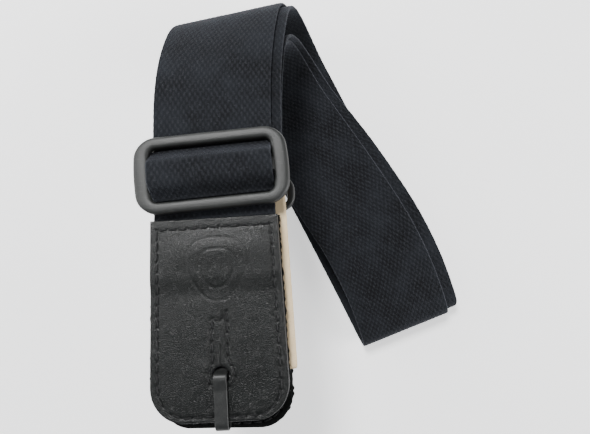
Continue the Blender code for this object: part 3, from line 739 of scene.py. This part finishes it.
def leather_layer(name, body, matrix, top, pad, side, hole_x, look, seed, replaced, seams, face):
    """One leather layer with a worn rim, seam grooves, needle holes, a button hole and its closed slit."""
    a = np.linspace(-1, 1, 92)
    fine = (hole_x + np.arange(-1.2, 1.21, 0.2)) / 26.9
    edge = 1 - np.array([0.12, 0.3, 0.5, 0.8]) / 26.9
    a = np.unique(np.round(np.concatenate([a, fine, edge, -edge]), 5))
    down = np.concatenate([[0, 0.12, 0.3, 0.5, 0.8], np.linspace(1.2, TAB_LENGTH - 1.0, 136),
                           TAB_LENGTH - np.array([0.8, 0.5, 0.3, 0.12, 0.0])])
    down, across = np.meshgrid(down, a, indexing="ij")
    half = tab_half_width(down)
    grow = 0.0 if face else 0.45
    x = across * (half + grow + (0.0 if face else 0.35) * noise(down, 0 * down, 1.1, seed + 5))

    hole = keyhole_distance(x, down, hole_x)
    gone = hole < 0
    cell = gone[:-1, :-1] & gone[1:, :-1] & gone[:-1, 1:] & gone[1:, 1:]
    for _ in range(3):
        step = 0.01
        distance = keyhole_distance(x, down, hole_x)
        slope_x = (keyhole_distance(x + step, down, hole_x) - distance) / step
        slope_y = (keyhole_distance(x, down + step, hole_x) - distance) / step
        size = np.maximum(np.hypot(slope_x, slope_y), 0.3)
        x = np.where(gone, x - distance * slope_x / size**2, x)
        down = np.where(gone, down - distance * slope_y / size**2, down)

    line = np.vstack([even_line(seam, 0.3) for seam in seams])
    needle = np.vstack([even_line(seam, STITCH) for seam in seams])
    rim = np.minimum(np.minimum(half - np.abs(x), TAB_LENGTH - down), down).clip(0)
    into_rim = np.clip(RIM_RADIUS - rim, 0, RIM_RADIUS)
    round_off = RIM_RADIUS - np.sqrt(np.clip(RIM_RADIUS**2 - into_rim**2, 0, None))
    lip = HOLE_LIP * np.exp(-np.clip(hole, 0, None) / HOLE_LIP) * (hole < 2)
    relief = 0.09 * noise(x, down, 9.0, seed) + 0.035 * noise(x, down, 2.3, seed + 1)
    relief += 0.012 * noise(x, down, 0.7, seed + 2)
    relief -= furrow(nearest(x, down, line), GROOVE_DEPTH, GROOVE_RADIUS)
    relief -= furrow(nearest(x, down, needle), NEEDLE_DEPTH, NEEDLE_RADIUS)
    relief -= furrow(slit_distance(x, down, hole_x), SLIT_DEPTH, SLIT_RADIUS)
    if face:
        relief += bulge(x, down)
        if name.startswith("front"):
            relief -= furrow(emboss_distance(x, down), EMBOSS_DEPTH, EMBOSS_WIDTH)
    inside = inner_level(down, pad)
    outside = inside + LEATHER + relief - round_off - lip
    if not face:
        outside = outside - 0.05

    rows, cols = x.shape
    lower = np.stack([x, top - down, side * inside], -1).reshape(-1, 3)
    upper = np.stack([x, top - down, side * outside], -1).reshape(-1, 3)
    keep = ~cell
    i, j = np.nonzero(keep)
    v = i * cols + j
    quads = np.stack([v, v + 1, v + cols + 1, v + cols], -1)
    count = rows * cols
    faces = quads[:, ::-1].tolist() + (quads + count).tolist()
    edges = {}
    for q in quads.tolist():
        for p, r in zip(q, q[1:] + q[:1]):
            if (r, p) in edges:
                del edges[(r, p)]
            else:
                edges[(p, r)] = True
    rim_points = set()
    for p, r in edges:
        faces.append((p, r, r + count, p + count))
        rim_points.update((p, r))
    used = np.unique(np.array([k for f in faces for k in f]))
    index = np.full(2 * count, -1)
    index[used] = np.arange(len(used))
    faces = [[int(index[k]) for k in f] for f in faces]
    points = np.vstack([lower, upper])[used]
    mark = np.zeros(2 * count)
    rim_list = np.array(sorted(rim_points))
    mark[rim_list] = mark[rim_list + count] = 1.0
    plan = np.stack([np.tile(x.ravel(), 2), np.tile(down.ravel(), 2)], -1)[used]
    return new_object(name, world(matrix, points), faces, look, body, replaced,
                      {"edge": mark[used]}, plan)


def seam_piece(name, body, matrix, top, pad, side, line, seed, replaced):
    """Separate stitches along a seam: each rises from one needle hole and dives into the next."""
    holes = even_line(line, STITCH)
    random = np.random.default_rng(seed)
    points, faces, plan = [], [], []
    share = np.array([0.06, 0.14, 0.26, 0.42, 0.58, 0.74, 0.86, 0.94])
    rise = np.array([-0.75, -0.3, 0.02, 0.12, 0.12, 0.02, -0.3, -0.75])
    thick = np.array([0.6, 0.9, 1.0, 1.05, 1.05, 1.0, 0.9, 0.6]) * THREAD
    turns = np.radians(np.arange(0, 360, 45))
    for k, (a, b) in enumerate(zip(holes[:-1], holes[1:])):
        along = (b - a) / np.linalg.norm(b - a)
        across = np.array([-along[1], along[0]]) * random.normal(0, 0.12)
        first = len(points)
        for f, up, r in zip(share, rise, thick):
            x, down = a + (b - a) * f + across * math.sin(math.pi * f)
            z = inner_level(down, pad) + LEATHER + up
            z += bulge(x, down)
            for turn in turns:
                wide, high = r * math.cos(turn), r * math.sin(turn)
                points.append((x - along[1] * wide, top - (down + along[0] * wide), side * (z + high)))
                plan.append((turn * THREAD + f * 3.0, f * 4.0 + k))
        faces += [[v + first for v in f] for f in shell_faces(len(share), len(turns))]
    return new_object(name, world(matrix, points), faces, THREAD_LOOK, body, replaced, None, plan)


def make_tab(prefix, body, matrix, top, pad, face_side, hole_x, seed):
    seams = {"border": border_line(), "top": top_line(), "keyhole": keyhole_line(hole_x)}
    lines = list(seams.values())
    leather_layer(prefix + "_leather_face_fine", body, matrix, top, pad, face_side, hole_x,
                  LEATHER_LOOK, seed, (prefix + "_leather_face",), lines, True)
    leather_layer(prefix + "_leather_back_fine", body, matrix, top, pad, -face_side, hole_x,
                  FLESH_LOOK, seed + 9, (prefix + "_leather_back",), lines, False)
    for key, line in seams.items():
        seam_piece(f"{prefix}_{key}_seam", body, matrix, top, pad, face_side, line, seed + len(key),
                   (f"{prefix}_{key}_stitch",))
        seam_piece(f"{prefix}_{key}_seam_back", body, matrix, top, pad, -face_side, line,
                   seed + len(key), ())


# ---------------------------------------------------------------- lace and card


def lace_strip(name, path, replaced):
    """A flat lace along a closed (y, z) path of the front end's frame."""
    s, p, d = even_path(path, LACE_STEP, closed=True)
    section = rounded_section(LACE[0] / 2, LACE[1] / 2, 0.4)
    rings, plan = [], []
    for k, (here, (dy, dz)) in enumerate(zip(p, d)):
        sway = 0.12 * float(noise(s[k], 0.0, 6.0, 91))
        ring = []
        for t, n in section:
            dome = 0.12 * (1 - (2 * t / LACE[0]) ** 2) * (1 if n > 0 else 0)
            ring.append((FRONT_HOLE_X + sway + t, here[0] - dz * (n + dome), here[1] + dy * (n + dome)))
            plan.append((t, s[k]))
        rings.append(ring)
    faces = loop_faces(len(rings), len(section))
    points = world(FRONT, np.array(rings).reshape(-1, 3))
    return new_object(name, points, faces, LACE_LOOK, "front_end", replaced, None, plan)


def make_lace():
    """The lace's closed loop through the hole and round the free end, and its knot behind the leather."""
    hole = FRONT_TAB_TOP - TAB_LENGTH + BUTTON_UP
    end = FRONT_TAB_TOP - TAB_LENGTH
    path = [(hole - 1.2, LACE_LIFT + 0.9), (hole - 3.0, LACE_LIFT + 0.5)]
    path += [(hole - 5.0, LACE_LIFT), (end, LACE_LIFT)]
    for a in np.radians(np.arange(75, -76, -15)):
        path.append((end - LACE_LIFT * math.cos(a) * 0.95, LACE_LIFT * math.sin(a)))
    path += [(end, -LACE_LIFT), (hole - 5.0, -2.75), (hole + 3.4, -2.7), (hole + 3.9, -2.4)]
    path += [(hole + 3.0, -1.6), (hole + 1.5, 0.0), (hole + 1.0, 2.0)]
    path += [(hole + 0.6, LACE_ARCH - 0.8), (hole - 0.1, LACE_ARCH - 0.45)]
    lace_strip("lace_fine", path, ("tie_lace",))

    turns = np.linspace(0, 2 * math.pi, 97)[:-1]
    x = (np.sin(turns) + 2 * np.sin(2 * turns)) / 3 * KNOT_SIZE[0]
    y = (np.cos(turns) - 2 * np.cos(2 * turns)) / 3 * KNOT_SIZE[1]
    z = -LACE_LIFT - LACE[1] / 2 - 0.3 - 1.1 - np.sin(3 * turns) * 0.5
    centre = np.stack([FRONT_HOLE_X + x, hole - KNOT_DOWN + y, z], -1)
    ahead = np.roll(centre, -1, axis=0) - np.roll(centre, 1, axis=0)
    ahead /= np.linalg.norm(ahead, axis=1)[:, None]
    side = np.cross(ahead, (0, 0, 1.0))
    side /= np.linalg.norm(side, axis=1)[:, None]
    rings = sweep(centre, side, np.cross(side, ahead), rounded_section(0.75, 0.5, 0.4))
    rows, cols = rings.shape[:2]
    faces = loop_faces(rows, cols)
    plan = [(j * 0.4, k * 0.4) for k in range(rows) for j in range(cols)]
    new_object("lace_knot_fine", world(FRONT, rings.reshape(-1, 3)), faces, LACE_LOOK, "front_end",
               ("lace_knot",), None, plan)


def make_card():
    """A thin card with slightly rounded corners and a faint warp, tucked behind the front end."""
    length, height, thick = CARD
    x, y = np.meshgrid(np.linspace(-1, 1, 40), np.linspace(-1, 1, 60), indexing="ij")
    corner = CARD_CORNER
    px, py = x * length / 2, y * height / 2
    over_x, over_y = np.abs(px) - (length / 2 - corner), np.abs(py) - (height / 2 - corner)
    both = (over_x > 0) & (over_y > 0)
    reach = np.maximum(np.hypot(over_x, over_y), 1e-6)
    scale = np.where(both, np.minimum(1, corner / reach), 1.0)
    px = np.where(both, np.sign(px) * (length / 2 - corner + over_x * scale), px)
    py = np.where(both, np.sign(py) * (height / 2 - corner + over_y * scale), py)
    warp = 0.04 * noise(px, py, 25.0, 101)
    lower = np.stack([px, py, warp - thick / 2], -1).reshape(-1, 3)
    upper = np.stack([px, py, warp + thick / 2], -1).reshape(-1, 3)
    rows, cols = px.shape
    faces = grid_faces(rows, cols, flip=True) + grid_faces(rows, cols, rows * cols)
    edge = [(0, j) for j in range(cols)] + [(i, cols - 1) for i in range(1, rows)]
    edge += [(rows - 1, j) for j in range(cols - 2, -1, -1)] + [(i, 0) for i in range(rows - 2, 0, -1)]
    rim = [i * cols + j for i, j in edge]
    faces += [(p, r, r + rows * cols, p + rows * cols) for p, r in zip(rim, rim[1:] + rim[:1])]
    turn = Matrix.Translation(CARD_PLACE) @ Matrix.Rotation(math.radians(CARD_TILT), 4, "Z")
    points = world(FRONT @ turn, np.vstack([lower, upper]))
    plan = np.tile(np.stack([px, py], -1).reshape(-1, 2), (2, 1))
    new_object("backing_card_fine", points, faces, CARD_LOOK, "card", ("backing_card",), None, plan)


# ---------------------------------------------------------------- stage


def make_stage():
    floor = bpy.data.objects.new("floor", bpy.data.meshes.new("floor"))
    corners = [(x, y, -0.0002) for x, y in ((-2, -2), (2, -2), (2, 2), (-2, 2))]
    floor.data.from_pydata(corners, [], [(0, 1, 2, 3)])
    floor.data.materials.append(floor_look())
    bpy.context.scene.collection.objects.link(floor)

    world_light = bpy.data.worlds.new("studio")
    world_light.use_nodes = True
    world_light.node_tree.nodes["Background"].inputs["Color"].default_value = (0.92, 0.95, 1.0, 1)
    world_light.node_tree.nodes["Background"].inputs["Strength"].default_value = 0.3
    bpy.context.scene.world = world_light
    lights = (("key", (-0.24, 0.50, 0.76), 0.24, 13.0), ("fill", (-0.7, 0.1, 0.4), 0.5, 4.0),
              ("low", (0.65, -0.1, 0.3), 0.5, 6.0))
    for name, place, size, power in lights:
        lamp = bpy.data.lights.new(name, "AREA")
        lamp.size, lamp.energy = size, power
        obj = bpy.data.objects.new(name, lamp)
        obj.location = place
        obj.rotation_euler = (Vector((0, 0, 0.05)) - Vector(place)).to_track_quat("-Z", "Y").to_euler()
        bpy.context.scene.collection.objects.link(obj)


def make_camera():
    camera = bpy.data.cameras.new("camera")
    camera.lens, camera.sensor_width = LENS, 36.0
    camera.clip_start = 0.005
    obj = bpy.data.objects.new("camera", camera)
    x, y, z = CAMERA_OFFSET
    obj.location = Vector((BASE[0] + x, BASE[1] + y, z)) * MM
    bpy.context.scene.collection.objects.link(obj)
    bpy.context.scene.camera = obj


# ---------------------------------------------------------------- assembly

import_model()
WEBBING = webbing_look()
LEATHER_LOOK, FLESH_LOOK = leather_look("leather_face"), leather_look("leather_back", True)
PLASTIC, THREAD_LOOK, LACE_LOOK, CARD_LOOK = plastic_look(), thread_look(), lace_look(), card_look()

make_camera()
make_stage()
make_running_layer()
make_return_layer()
make_loops()
frame_piece("slider_fine", "slider", SLIDER, SLIDER_SIZE, SLIDER_WINDOW, SLIDER_LEVELS, SLIDER_BOW,
            ("slider_frame",), (BAR_HALF, BAR_LEVELS[0], BAR_LEVELS[1] - 0.3), WINDOW_INSET)
frame_piece("ring_fine", "ring", RING, RING_SIZE, RING_WINDOW, (-RING_HALF, RING_HALF), 0.0, ("ring",))
make_tab("front", "front_end", FRONT, FRONT_TAB_TOP, WEB_HALF + 0.3, 1, FRONT_HOLE_X, 201)
make_tab("rear", "rear_end", RING, REAR_TAB_TOP, LAYER_STEP / 2 + WEB_HALF + 0.3, -1, REAR_HOLE_X, 301)
make_lace()
make_card()
